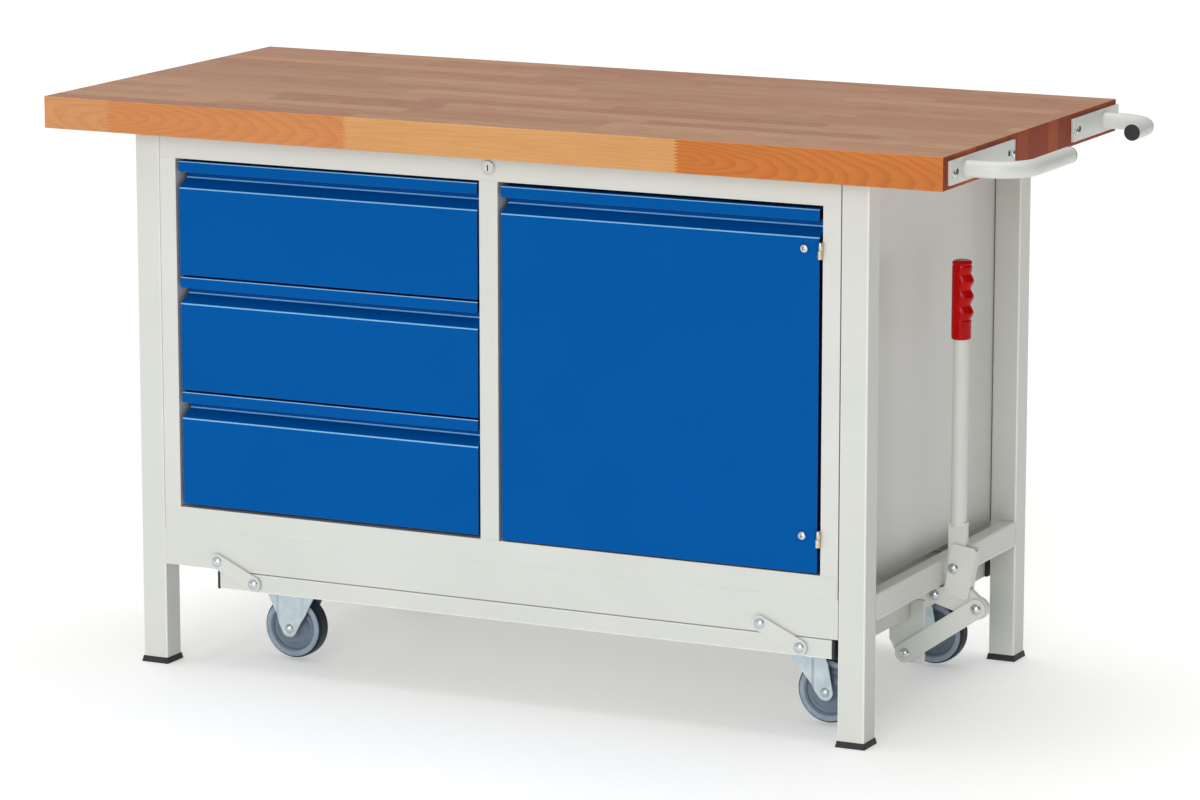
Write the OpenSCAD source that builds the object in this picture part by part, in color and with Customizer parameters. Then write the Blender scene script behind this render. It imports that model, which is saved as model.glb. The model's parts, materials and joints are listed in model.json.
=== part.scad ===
// Mobile workbench: beech top on a steel frame, three drawers, a cupboard, and a castor chassis
// under the cabinet that a side lever lowers on four parallel links to lift the feet off the floor.
// Origin: middle of the whole outline at floor height. +X right, +Y to the back, +Z up.

/* [Worktop] */
// Length of the worktop
top_l = 1500; // [1300:10:1800]
// Depth of the worktop
top_d = 700; // [650:10:800]
// Thickness of the worktop
top_t = 50; // [30:1:60]
// Height of the working surface above the floor
bench_h = 895; // [850:5:950]

/* [Frame] */
// Width of the frame over its legs
frame_w = 1233; // [1200:1:1290]
// Side of the square leg tube
leg_w = 43; // [40:1:50]
// Wall of the frame tubes
tube_wall = 2; // [1.5:0.5:3]
// Overhang of the worktop in front of the legs
front_overhang = 48; // [30:1:60]
// Overhang of the worktop behind the legs
rear_overhang = 10; // [10:1:30]
// Height of a plastic foot under the leg
foot_h = 9.5; // [6:0.5:15]
// How far a foot spreads past its leg
foot_flare = 2.5; // [0:0.5:5]
// Thickness of the sheet steel
sheet = 1.5; // [1:0.1:2]

/* [Cabinet] */
// Bottom edge of the apron above the floor
apron_z0 = 162; // [155:1:175]
// Top edge of the apron, where the cabinet starts
apron_z1 = 222; // [215:1:230]
// Bottom edge of the front opening
open_z0 = 256; // [245:1:265]
// Top edge of the front opening
open_z1 = 805; // [790:1:810]
// Width of the stile beside each leg
stile_w = 29; // [20:1:40]
// Width of the middle column
column_w = 31; // [25:1:40]
// Left edge of the middle column, from the middle of the worktop
column_x0 = -17; // [-40:1:10]

/* [Drawers and door] */
// Gap between two drawer fronts
front_gap = 3.5; // [2:0.5:5]
// Gap beside a front
side_gap = 6; // [4:0.5:8]
// Height of the rounded lip over a grip
lip_h = 17; // [14:0.5:22]
// Depth of the grip behind the lip
grip_d = 26; // [20:1:32]
// Distance from the top of a front down to its flat face
grip_h = 41.5; // [36:0.5:48]
// Length of a drawer box from front to back
drawer_l = 560; // [400:10:580]
// Height of a drawer box
drawer_h = 128; // [90:2:135]
// Travel of a drawer
drawer_travel = 450; // [300:10:460]

/* [Chassis] */
// Left end of the chassis rails, from the middle of the worktop
rail_x0 = -475; // [-480:1:-460]
// Right end of the chassis rails, from the middle of the worktop
rail_x1 = 564; // [550:1:566]
// Height of a chassis rail
rail_h = 29; // [25:1:32]
// Depth of a chassis rail
rail_d = 40; // [30:1:45]
// Length between the pivots of a lifting link
link_l = 71; // [70:0.5:72]
// Slope of a lifting link at rest, below horizontal
link_slope = 24.8; // [22:0.1:28]
// Width of a lifting link
link_w = 24; // [20:1:28]

/* [Castors] */
// Wheel diameter
wheel_d = 100; // [95:1:100]
// Wheel width
wheel_w = 32; // [28:1:34]
// Height of the wheel above the floor at rest
wheel_lift = 5; // [3:0.5:8]
// Distance of the castors from the front and rear faces of the frame
castor_inset = 117; // [110:1:125]
// Distance from the swivel axis to the axle
trail = 32; // [25:1:35]

/* [Lever] */
// Diameter of the lever tube
lever_d = 24; // [22:1:26]
// Height of the top of the grip
lever_top = 688; // [640:1:720]
// Length of the grip
grip_l = 120; // [100:1:140]
// Thickness of the crank
crank_t = 12; // [10:1:14]

/* [Push handles] */
// Diameter of a handle tube
handle_d = 25; // [22:1:28]
// How far a handle stands out past the worktop
handle_reach = 102; // [90:1:120]
// Middle radius of the handle bend
handle_bend = 60; // [50:1:65]

/* [Hidden] */
$fn = 48;
slip = 0.05;
face_gap = 0.3;
eps = 0.01;

// Frame planes, with X and Y from the middle of the worktop
y_front = -top_d / 2 + front_overhang;
y_back = top_d / 2 - rear_overhang;
leg_x1 = frame_w / 2;
leg_x0 = leg_x1 - leg_w;
top_z0 = bench_h - top_t;
side_x = leg_x0 - 1;
open_x1 = leg_x0 - stile_w;
column_x1 = column_x0 + column_w;
stile_return = 40;
column_y1 = y_front + stile_return;
mid_x = (column_x0 + column_x1) / 2;
rail_tuck = 30;

// Side rails between the legs, low on the frame
side_rail_w = 25;
side_rail_z0 = 186;
side_rail_z1 = 226;

// Drawer fronts, equal steps down from the top of the opening
front_z1 = open_z1 - 4;
front_z0 = open_z0 + 5.5;
front_h = (front_z1 - front_z0 - 2 * front_gap) / 3;
front_step = front_h + front_gap;
drawer_x0 = -open_x1 + side_gap;
drawer_x1 = column_x0 - front_gap;
door_x0 = column_x1 + side_gap - 0.5;
door_x1 = open_x1 - side_gap + 0.5;
door_z1 = open_z1 - 6;
door_z0 = open_z0 + 2.5;
box_gap = 6;
box_y0 = y_front + grip_d + sheet;
runner_w = 12.5;
runner_h = 36;
runner_y0 = column_y1 + 2;
runner_y1 = box_y0 + drawer_l;
drawer_lift = 9;

// Hinge of the door, in the gap at its right edge
hinge_x = (door_x1 + open_x1) / 2;
hinge_y = y_front - 3.8;
hinge_r = 3.5;
hinge_pin_r = 1.5;
hinge_h = 25;
hinge_zs = [311, 739];
leaf_t = 1.6;
leaf_l = 20;

// Lock in the top rail above the column
lock_z = (open_z1 + top_z0) / 2;
lock_r = 11;
core_r = 8;

// Lifting links: a parallelogram between the aprons and the chassis rails
link_t = 4.5;
link_gap = 0.5;
link_dx = link_l * cos(link_slope);
link_dz = link_l * sin(link_slope);
frame_pivot_z = 175;
frame_pivot_xs = [-478, 449];
pivot_r = 5;
head_r = 8.5;
head_h = 3.6;
rail_z1 = apron_z0 - 1.5;
rail_z0 = rail_z1 - rail_h;

// Castors: fixed pair at the left, swivel pair at the right, bolted under two wide crossbars
axle_z = wheel_lift + wheel_d / 2;
fixed_x = -405;
swivel_x = 482;
castor_ys = [y_front + castor_inset, y_back - castor_inset];
crossbar_w = 100;
lever_bar_w = 30;
plate_l = 105;
plate_w = 85;
plate_t = 3;
plate_z0 = rail_z0 - plate_t;
cheek_t = 3;
press_d = 5;
flange_in = wheel_w / 2 + 1.5;
cheek_in = flange_in + press_d;
cheek_out = cheek_in + cheek_t;
axle_r = 4;
axle_head_r = 7.5;
tread_r = 38;
race_r = 28;
race_z0 = plate_z0 - 16;
crown_r = 30;
crown_z1 = race_z0 - 0.5;
crown_z0 = crown_z1 - 5;
king_r = 6;

// Lever: the crank turns on B under the side rail, C carries the push link, D is on the chassis
b_at = [604, 171.5];
c_at = [674, 156.5];
d_at = [558, 76];
a_at = [636, 216];
link_r = 15;
crank_y = crank_t / 2;
crank_r_b = 13;
crank_r_c = 17;
push_t = 5;
push_y1 = -crank_y - face_gap;
push_y0 = push_y1 - push_t;
socket_t = 4;
socket_lean = 8.5;
lever_x = 640;
flat_w = 28;
flat_z1 = 287;
lug_t = 8;
d_hole_r = 7.8;
d_bolt_r = 4.8;
bracket_t = 6;

// Push handles on the right end of the worktop; each list holds the Y of both ends of the plate,
// then of the root and of the free end of the tube
handle_z = 869.7;
handle_plate_t = 5;
handle_plate_h = 35;
handle_x = top_l / 2 + handle_reach - handle_d / 2;
handle_wall = 2;
handle_front = [-332, -84, -274, -86];
handle_rear = [157, 348, 287.5, 179];

// ---- Building blocks -------------------------------------------------------------------------

// Everything is drawn from the middle of the worktop, then moved to the middle of the outline
module at_bench() {
    translate([-handle_reach / 2, 0, 0]) children();
}

module block(x0, x1, y0, y1, z0, z1) {
    translate([x0, y0, z0]) cube([x1 - x0, y1 - y0, z1 - z0]);
}

// An outline in X and Z, as thick as y0 to y1
module xz(y0, y1) {
    translate([0, y1, 0]) rotate([90, 0, 0]) linear_extrude(y1 - y0) children();
}

// An outline in Y and Z, as long as x0 to x1
module yz(x0, x1) {
    translate([x0, 0, 0]) rotate([90, 0, 90]) linear_extrude(x1 - x0) children();
}

module rod_y(x, z, y0, y1, r) {
    translate([x, y1, z]) rotate([90, 0, 0]) cylinder(h = y1 - y0, r = r);
}

module rod_z(x, y, z0, z1, r) {
    translate([x, y, z0]) cylinder(h = z1 - z0, r = r);
}

// Sheet bent along a line of points, with rounded bends
module folded(points, t) {
    for (i = [0 : len(points) - 2]) {
        run = points[i + 1] - points[i];
        translate(points[i])
            rotate(atan2(run.y, run.x))
                translate([0, -t / 2])
                    square([norm(run), t]);
    }
    for (p = points) translate(p) circle(d = t, $fn = 24);
}

// Flat bar with a round end about p and about q; its sides cross the rounds a hair inside them.
// On the left of the way from p to q its edge may run over the points of a crest, from q back to p
module bar(p, q, rp, rq, crest = []) {
    way = atan2(q.y - p.y, q.x - p.x);
    turn = acos((rp - rq) / norm(q - p));
    hair = 0.02;
    left = [cos(way + turn), sin(way + turn)];
    right = [cos(way - turn), sin(way - turn)];
    polygon(concat(
        [p + (rp - hair) * right, q + (rq - hair) * right, q + (rq - hair) * left],
        crest, [p + (rp - hair) * left]
    ));
    translate(p) circle(r = rp);
    translate(q) circle(r = rq);
}

// Plate with one corner radius
module rounded_plate(w, h, r) {
    translate([r, 0]) square([w - 2 * r, h]);
    translate([0, r]) square([w, h - 2 * r]);
    for (x = [r, w - r], y = [r, h - r]) translate([x, y]) circle(r = r);
}

// Domed head standing on the plane y0 and pointing towards -Y (side = -1) or +Y (side = 1)
module dome_head(x, z, y0, side, r, h) {
    ball = (r * r + h * h) / (2 * h);
    translate([x, y0, z])
        rotate([side > 0 ? -90 : 90, 0, 0])
            rotate_extrude()
                intersection() {
                    translate([0, h - ball]) circle(r = ball, $fn = 96);
                    square([r, h]);
                }
}

// Bolt along Y from the plane y0 of its head to its end at y1
module bolt_y(x, z, y0, y1, r, rh, h) {
    side = y1 > y0 ? -1 : 1;
    dome_head(x, z, y0, side, rh, h);
    rod_y(x, z, min(y0, y1), max(y0, y1), r);
}

// ---- Worktop and frame -----------------------------------------------------------------------

module worktop() {
    color("burlywood")
        at_bench()
            block(-top_l / 2, top_l / 2, -top_d / 2, top_d / 2, top_z0, bench_h);
}

module leg(x_side, back) {
    x0 = x_side > 0 ? leg_x0 : -leg_x1;
    y0 = back ? y_back - leg_w : y_front;
    color("gainsboro")
        at_bench()
            difference() {
                block(x0, x0 + leg_w, y0, y0 + leg_w, foot_h, top_z0);
                block(x0 + tube_wall, x0 + leg_w - tube_wall,
                      y0 + tube_wall, y0 + leg_w - tube_wall, 0, bench_h);
            }
}

module leg_front_left() { leg(-1, false); }
module leg_front_right() { leg(1, false); }
module leg_rear_left() { leg(-1, true); }
module leg_rear_right() { leg(1, true); }

// Foot: a pad that widens to the floor and a plug that fills the leg tube
module foot(x, y) {
    half = leg_w / 2;
    plug = half - tube_wall;
    skirt = [[-half - foot_flare, 0], [half + foot_flare, 0],
             [half + 0.5, foot_h], [-half - 0.5, foot_h]];
    translate([x, y, 0]) {
        intersection() {
            xz(-leg_w, leg_w) polygon(skirt);
            yz(-leg_w, leg_w) polygon(skirt);
        }
        block(-plug, plug, -plug, plug, foot_h - eps, foot_h + 25);
    }
}

module feet() {
    color("black")
        at_bench()
            for (x = [-leg_x1 + leg_w / 2, leg_x1 - leg_w / 2],
                 y = [y_front + leg_w / 2, y_back - leg_w / 2])
                foot(x, y);
}

// Channel behind a face plane, open towards the inside of the frame
module channel(x0, x1, z0, z1, face, side, tuck) {
    y0 = face;
    y1 = face + side * sheet;
    y2 = face + side * tuck;
    block(x0, x1, min(y0, y1), max(y0, y1), z0, z1);
    block(x0, x1, min(y0, y2), max(y0, y2), z0, z0 + sheet);
    block(x0, x1, min(y0, y2), max(y0, y2), z1 - sheet, z1);
}

module apron(face, side) {
    color("gainsboro")
        at_bench()
            difference() {
                channel(-leg_x0, leg_x0, apron_z0, apron_z1, face, side, rail_tuck);
                for (x = frame_pivot_xs)
                    rod_y(x, frame_pivot_z, face - 5, face + 5, pivot_r);
            }
}

module apron_front() { apron(y_front, 1); }
module apron_rear() { apron(y_back, -1); }

module side_rails() {
    color("silver")
        at_bench()
            for (side = [-1, 1])
                difference() {
                    block(side > 0 ? leg_x1 - side_rail_w : -leg_x1,
                          side > 0 ? leg_x1 : -leg_x1 + side_rail_w,
                          y_front + leg_w, y_back - leg_w, side_rail_z0, side_rail_z1);
                    block(side > 0 ? leg_x1 - side_rail_w + tube_wall : -leg_x1 + tube_wall,
                          side > 0 ? leg_x1 - tube_wall : -leg_x1 + side_rail_w - tube_wall,
                          y_front, y_back,
                          side_rail_z0 + tube_wall, side_rail_z1 - tube_wall);
                }
}

// Side wall of the cabinet with its front stile folded from the same sheet
module side_panel(side) {
    color("lightgray")
        at_bench()
            mirror([side > 0 ? 0 : 1, 0, 0]) {
                block(side_x - sheet, side_x, y_front, y_back, apron_z1, top_z0);
                block(open_x1, side_x, y_front, y_front + sheet, open_z0, open_z1);
                block(open_x1, open_x1 + sheet, y_front, y_front + stile_return,
                      open_z0, open_z1);
            }
}

module side_panel_left() { side_panel(-1); }
module side_panel_right() { side_panel(1); }

module base_panel() {
    inner = side_x - sheet;
    color("gainsboro")
        at_bench() {
            block(-inner, inner, y_front, y_back, open_z0 - sheet, open_z0);
            block(-inner, inner, y_front, y_front + sheet, apron_z1, open_z0);
            block(-inner, inner, y_back - sheet, y_back, apron_z1, open_z0);
        }
}

module top_rail(face, side) {
    inner = side_x - sheet;
    channel(-inner, inner, open_z1, top_z0, face, side, rail_tuck);
}

module top_rail_front() {
    color("gainsboro")
        at_bench()
            difference() {
                top_rail(y_front, 1);
                rod_y(mid_x, lock_z, y_front - 5, y_front + 5, lock_r - 1.5);
            }
}

module top_rail_rear() {
    color("gainsboro") at_bench() top_rail(y_back, -1);
}

// Partition between drawers and cupboard, with the column that closes it at the front
module divider() {
    color("gainsboro")
        at_bench() {
            block(column_x0, column_x1, y_front, y_front + sheet, open_z0, open_z1);
            for (x = [column_x0, column_x1 - sheet])
                block(x, x + sheet, y_front, column_y1, open_z0, open_z1);
            block(column_x0, column_x1, column_y1 - sheet, column_y1, open_z0, open_z1);
            block(mid_x - sheet / 2, mid_x + sheet / 2, column_y1, y_back - sheet,
                  open_z0, open_z1);
        }
}

module back_panel() {
    inner = side_x - sheet;
    color("gainsboro")
        at_bench()
            block(-inner, inner, y_back - sheet, y_back, open_z0, open_z1);
}

// Shelf in the cupboard, with its edges turned down
module shelf() {
    x0 = mid_x + sheet / 2 + 1;
    x1 = side_x - sheet - 1;
    y0 = y_front + 60;
    y1 = y_back - sheet - 5;
    z1 = 520;
    color("gainsboro")
        at_bench() {
            block(x0, x1, y0, y1, z1 - sheet, z1);
            for (y = [y0, y1 - sheet]) block(x0, x1, y, y + sheet, z1 - 25, z1);
        }
}

// Heights of the bottom edge of each drawer front, from the top drawer down
function front_bottom(i) = front_z1 - front_h - i * front_step;
function runner_z(i) = front_bottom(i) + drawer_lift + 40;

// Channel that a drawer slides in, open on the drawer's side, behind the column
module cabinet_runner(x, side, z) {
    lip = side > 0 ? [x, x + runner_w] : [x - runner_w, x];
    web = side > 0 ? [x, x + sheet] : [x - sheet, x];
    for (dz = [0, runner_h - sheet])
        block(lip[0], lip[1], runner_y0, runner_y1, z + dz, z + dz + sheet);
    block(web[0], web[1], runner_y0, runner_y1, z, z + runner_h);
}

// Runners of the three drawers, each on two spacer blocks that stand on the cabinet's walls
module cabinet_runners() {
    left_wall = -side_x + sheet;
    right_wall = mid_x - sheet / 2;
    left = drawer_x0 + box_gap - runner_w;
    right = drawer_x1 - box_gap + runner_w;
    spacer_l = 40;
    color("silver")
        at_bench()
            for (i = [0 : 2]) {
                z0 = runner_z(i);
                for (y = [runner_y0 + 10, runner_y1 - 10 - spacer_l]) {
                    block(left_wall, left, y, y + spacer_l, z0, z0 + runner_h);
                    block(right, right_wall, y, y + spacer_l, z0, z0 + runner_h);
                }
                cabinet_runner(left, 1, z0);
                cabinet_runner(right, -1, z0);
            }
}

module lock_housing() {
    color("silver")
        at_bench()
            difference() {
                union() {
                    rod_y(mid_x, lock_z, y_front - 2.5, y_front, lock_r);
                    rod_y(mid_x, lock_z, y_front, y_front + 24, lock_r - 1.5);
                }
                rod_y(mid_x, lock_z, y_front - 5, y_front + 30, core_r + slip);
            }
}

// Lower knuckles with their pins, and the leaves on the stile's return
module hinge_leaves() {
    color("burlywood")
        at_bench()
            for (z = hinge_zs) {
                rod_z(hinge_x, hinge_y, z - hinge_h / 2, z - 0.2, hinge_r);
                rod_z(hinge_x, hinge_y, z - hinge_h / 2, z + hinge_h / 2, hinge_pin_r);
                block(open_x1 - leaf_t, open_x1, hinge_y, hinge_y + leaf_l,
                      z - hinge_h / 2, z - 0.2);
                block(hinge_x, open_x1, hinge_y - leaf_t / 2, hinge_y + leaf_t / 2,
                      z - hinge_h / 2, z - 0.2);
            }
}

// ---- Push handles ----------------------------------------------------------------------------

// Tube from the plate, round a bend, along the end of the worktop
module handle_path(y_root, y_end, r, past) {
    side = sign(y_end - y_root);
    x0 = top_l / 2 + handle_plate_t;
    xb = handle_x - handle_bend;
    yb = y_root + side * handle_bend;
    translate([x0 - past, y_root, handle_z])
        rotate([0, 90, 0]) cylinder(h = xb - x0 + past, r = r);
    translate([xb, yb, handle_z])
        mirror([0, side > 0 ? 1 : 0, 0])
            rotate_extrude(angle = 90) translate([handle_bend, 0]) circle(r = r);
    translate([handle_x, side > 0 ? yb : y_end - past, handle_z])
        rotate([-90, 0, 0]) cylinder(h = abs(y_end - yb) + past, r = r);
}

// Handle of given Y values: both ends of its plate, then the tube's root and free end
module push_handle(at) {
    color("silver")
        at_bench() {
            block(top_l / 2, top_l / 2 + handle_plate_t, at[0], at[1],
                  handle_z - handle_plate_h / 2, handle_z + handle_plate_h / 2);
            difference() {
                handle_path(at[2], at[3], handle_d / 2, 0);
                handle_path(at[2], at[3], handle_d / 2 - handle_wall, 1);
            }
        }
}

module push_handle_front() { push_handle(handle_front); }
module push_handle_rear() { push_handle(handle_rear); }

module handle_end_plugs() {
    cap_t = 2.5;
    plug_l = 12;
    inner = handle_d / 2 - handle_wall;
    color("black")
        at_bench()
            for (at = [handle_front, handle_rear])
                translate([handle_x, at[3], handle_z])
                    rotate([at[3] > at[2] ? -90 : 90, 0, 0]) {
                        cylinder(h = cap_t, r = handle_d / 2);
                        translate([0, 0, -plug_l]) cylinder(h = plug_l, r = inner);
                    }
}

// ---- Lifting links and chassis ---------------------------------------------------------------

// Faces of the two link planes, in front of the front rail and behind the rear rail
function link_y0(back) = back ? y_back + link_gap : y_front - link_gap - link_t;
function head_plane(back) = back ? y_back + link_gap + link_t + face_gap
                                 : y_front - link_gap - link_t - face_gap;

module lifting_link(i, back) {
    p = [frame_pivot_xs[i], frame_pivot_z];
    q = p + [link_dx, -link_dz];
    y0 = link_y0(back);
    color("gainsboro")
        at_bench()
            xz(y0, y0 + link_t)
                difference() {
                    bar(p, q, link_w / 2, link_w / 2);
                    for (c = [p, q]) translate(c) circle(r = pivot_r + slip);
                }
}

module link_front_left() { lifting_link(0, false); }
module link_front_right() { lifting_link(1, false); }
module link_rear_left() { lifting_link(0, true); }
module link_rear_right() { lifting_link(1, true); }

// Shoulder bolts of the links: spacer ring against the face, shaft, domed head
module link_bolt(x, z, back) {
    side = back ? 1 : -1;
    face = back ? y_back : y_front;
    ring_y = face + side * (link_gap - 0.1);
    bolt_y(x, z, head_plane(back), face - side * 20, pivot_r, head_r, head_h);
    rod_y(x, z, min(face, ring_y), max(face, ring_y), head_r);
}

module frame_pivot_bolts() {
    color("silver")
        at_bench() {
            for (back = [false, true], x = frame_pivot_xs)
                link_bolt(x, frame_pivot_z, back);
            bolt_y(b_at.x, b_at.y, -crank_y - face_gap, crank_y + face_gap + lug_t + 6,
                   pivot_r, 8, 4);
        }
}

module chassis_pivot_bolts() {
    color("silver")
        at_bench()
            for (back = [false, true], x = frame_pivot_xs)
                link_bolt(x + link_dx, frame_pivot_z - link_dz, back);
}

// Square tube, with a hole for each link bolt in its outer face
module chassis_rail(back) {
    y0 = back ? y_back - rail_d : y_front;
    face = back ? y_back : y_front;
    color("gainsboro")
        at_bench()
            difference() {
                block(rail_x0, rail_x1, y0, y0 + rail_d, rail_z0, rail_z1);
                block(rail_x0 - 1, rail_x1 + 1, y0 + tube_wall, y0 + rail_d - tube_wall,
                      rail_z0 + tube_wall, rail_z1 - tube_wall);
                for (x = frame_pivot_xs)
                    rod_y(x + link_dx, frame_pivot_z - link_dz, face - 5, face + 5, pivot_r);
            }
}

module chassis_rail_front() { chassis_rail(false); }
module chassis_rail_rear() { chassis_rail(true); }

module crossbar(x, w) {
    y0 = y_front + rail_d;
    y1 = y_back - rail_d;
    difference() {
        block(x - w / 2, x + w / 2, y0, y1, rail_z0, rail_z1);
        block(x - w / 2 + tube_wall, x + w / 2 - tube_wall, y0 - 1, y1 + 1,
              rail_z0 + tube_wall, rail_z1 - tube_wall);
    }
}

module chassis_crossbars() {
    color("gainsboro")
        at_bench() {
            crossbar(fixed_x, crossbar_w);
            crossbar(swivel_x, crossbar_w);
            crossbar(rail_x1 - lever_bar_w / 2, lever_bar_w);
        }
}

// Plate under the end crossbar that the push link pulls; its hole leaves the pivot D loose
module lever_bracket() {
    x0 = rail_x1 - lever_bar_w - 3;
    x1 = rail_x1 + 24;
    z0 = 61;
    color("gainsboro")
        at_bench()
            xz(-crank_y, -crank_y + bracket_t)
                difference() {
                    union() {
                        polygon([[x0, rail_z0], [x0, 96], [d_at.x - 11, d_at.y - 9],
                                 [d_at.x, z0], [x1, z0], [x1, rail_z1],
                                 [rail_x1, rail_z1], [rail_x1, rail_z0]]);
                        translate(d_at) circle(r = d_at.y - z0);
                    }
                    translate(d_at) circle(r = d_hole_r);
                }
}

module rail_end_plugs() {
    flange = 4.5;
    color("black")
        at_bench()
            for (back = [false, true], end = [-1, 1]) {
                y0 = back ? y_back - rail_d : y_front;
                xf = end > 0 ? rail_x1 : rail_x0 - flange;
                xp = end > 0 ? rail_x1 - 20 : rail_x0;
                block(xf, xf + flange, y0, y0 + rail_d, rail_z0, rail_z1);
                block(xp, xp + 20, y0 + tube_wall, y0 + rail_d - tube_wall,
                      rail_z0 + tube_wall, rail_z1 - tube_wall);
            }
}

// ---- Castors ---------------------------------------------------------------------------------

module top_plate(x, y) {
    block(x - plate_l / 2, x + plate_l / 2, y - plate_w / 2, y + plate_w / 2,
          plate_z0, rail_z0);
}

// Pair of cheeks either side of the wheel. The child is the outline of a cheek. Between x_left and
// x_right of the swivel axis its plate is pressed outwards, with a slanting wall down to each flange
module cheeks(x, y, x_left, x_right) {
    reach = 60;
    slant = 7;
    for (side = [0, 1])
        translate([x, y, 0])
            mirror([0, side, 0])
                intersection() {
                    xz(flange_in - 1, cheek_out + 1) children();
                    linear_extrude(plate_z0)
                        polygon([
                            [-reach, flange_in], [x_left - slant, flange_in], [x_left, cheek_in],
                            [x_right, cheek_in], [x_right + slant, flange_in], [reach, flange_in],
                            [reach, flange_in + cheek_t], [x_right + slant, flange_in + cheek_t],
                            [x_right, cheek_out], [x_left, cheek_out],
                            [x_left - slant, flange_in + cheek_t], [-reach, flange_in + cheek_t]
                        ]);
                }
}

module fixed_castor_housings() {
    r = 13.5;
    color("lightsteelblue")
        at_bench()
            for (y = castor_ys)
                difference() {
                    union() {
                        top_plate(fixed_x, y);
                        cheeks(fixed_x, y, -r - 4.5, r + 4.5) {
                            polygon([[-50, plate_z0], [-48, plate_z0 - 8],
                                     [-r + 1, axle_z - 5], [r - 1, axle_z - 5],
                                     [48, plate_z0 - 8], [50, plate_z0]]);
                            translate([0, axle_z]) circle(r = r);
                        }
                    }
                    rod_y(fixed_x, axle_z, y - 40, y + 40, axle_r);
                }
}

// Axle bolt through both cheeks, with a domed head and a nut
module axle(x, y) {
    bolt_y(x, axle_z, y - cheek_out, y + cheek_out + 5, axle_r, axle_head_r, 4);
    rod_y(x, axle_z, y + cheek_out, y + cheek_out + 5, axle_head_r - 0.5);
}

module fixed_castor_axles() {
    color("silver") at_bench() for (y = castor_ys) axle(fixed_x, y);
}

module swivel_castor_plates() {
    color("lightsteelblue")
        at_bench()
            for (y = castor_ys) {
                top_plate(swivel_x, y);
                rod_z(swivel_x, y, race_z0, plate_z0, race_r);
                rod_z(swivel_x, y, crown_z0 - 4, plate_z0, king_r);
            }
}

module castor_fork(y) {
    r = 12.5;
    left = -27;
    right = 34;
    color("lightsteelblue")
        at_bench() {
            difference() {
                union() {
                    rod_z(swivel_x, y, crown_z0, crown_z1, crown_r);
                    cheeks(swivel_x, y, trail - r - 5, trail + r + 5) {
                        polygon([[left, crown_z1], [left, crown_z0 - 2],
                                 [trail - 10.5, axle_z - 7], [trail + r, axle_z],
                                 [right + 2, crown_z0 - 8], [right - 4, crown_z1]]);
                        translate([trail, axle_z]) circle(r = r);
                    }
                }
                rod_y(swivel_x + trail, axle_z, y - 40, y + 40, axle_r);
                rod_z(swivel_x, y, crown_z0 - 1, crown_z1 + 1, king_r + slip);
            }
            axle(swivel_x + trail, y);
        }
}

module castor_fork_front() { castor_fork(castor_ys[0]); }
module castor_fork_rear() { castor_fork(castor_ys[1]); }

// Wheel: dished hub with a boss, and a crowned tread bonded to its rim
module wheel(x, y) {
    half = wheel_w / 2;
    boss = cheek_in - 0.5;
    r_out = wheel_d / 2;
    crown = 4;
    at_bench()
        translate([x, y, axle_z])
            rotate([90, 0, 0]) {
                color("slategray")
                    rotate_extrude()
                        polygon([[axle_r + slip, -boss], [12, -boss], [14, -8], [27, -5],
                                 [33, -12], [tread_r - 2, -14], [tread_r, -13],
                                 [tread_r, 13], [tread_r - 2, 14], [33, 12], [27, 5],
                                 [14, 8], [12, boss], [axle_r + slip, boss]]);
                color("darkslategray")
                    rotate_extrude()
                        polygon([[tread_r, -13], [tread_r + 3, -half], [r_out - crown, -half],
                                 [r_out - 1, -half + crown], [r_out, -half + 2 * crown],
                                 [r_out, half - 2 * crown], [r_out - 1, half - crown],
                                 [r_out - crown, half], [tread_r + 3, half], [tread_r, 13]]);
            }
}

module wheel_front_left() { wheel(fixed_x, castor_ys[0]); }
module wheel_front_right() { wheel(swivel_x + trail, castor_ys[0]); }
module wheel_rear_left() { wheel(fixed_x, castor_ys[1]); }
module wheel_rear_right() { wheel(swivel_x + trail, castor_ys[1]); }

// ---- Lever -----------------------------------------------------------------------------------

// Lug welded under the right side rail, behind the crank
module lever_lug() {
    r = side_rail_w / 2;
    y0 = crank_y + face_gap;
    color("silver")
        at_bench()
            xz(y0, y0 + lug_t)
                difference() {
                    union() {
                        translate(b_at) circle(r = r);
                        translate([b_at.x - r, b_at.y])
                            square([2 * r, side_rail_z0 - b_at.y]);
                    }
                    translate(b_at) circle(r = pivot_r);
                }
}

// Crank: bar from B to C with a tab that rises between the cheeks of the socket, past the side
// rail and short of the flat end of the tube
module crank() {
    tab_z1 = a_at.y - 22;
    color("silver")
        at_bench()
            xz(-crank_y, crank_y)
                difference() {
                    bar(b_at, c_at, crank_r_b, crank_r_c,
                        [[a_at.x + 16, tab_z1], [a_at.x - 12, tab_z1],
                         [leg_x1 + 1.5, b_at.y + crank_r_b - 0.5]]);
                    translate(b_at) circle(r = pivot_r + slip);
                    translate(c_at) circle(r = pivot_r);
                }
}

// Socket: a U of plate that leans outwards and clasps the crank and the flat end of the tube
module lever_socket() {
    w = 39;
    h = 81;
    foot_at = [621.7, 174.5];
    cheek = crank_y + socket_t;
    color("silver")
        at_bench()
            translate([foot_at.x, 0, foot_at.y])
                rotate([0, socket_lean, 0]) {
                    difference() {
                        for (y = [-cheek, crank_y])
                            xz(y, y + socket_t) rounded_plate(w, h, 5);
                        rotate([0, -socket_lean, 0])
                            translate([-foot_at.x, 0, -foot_at.y])
                                rod_y(a_at.x, a_at.y, -30, 30, pivot_r);
                    }
                    block(w - socket_t, w, -crank_y, crank_y, 20, h - 5);
                }
}

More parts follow.
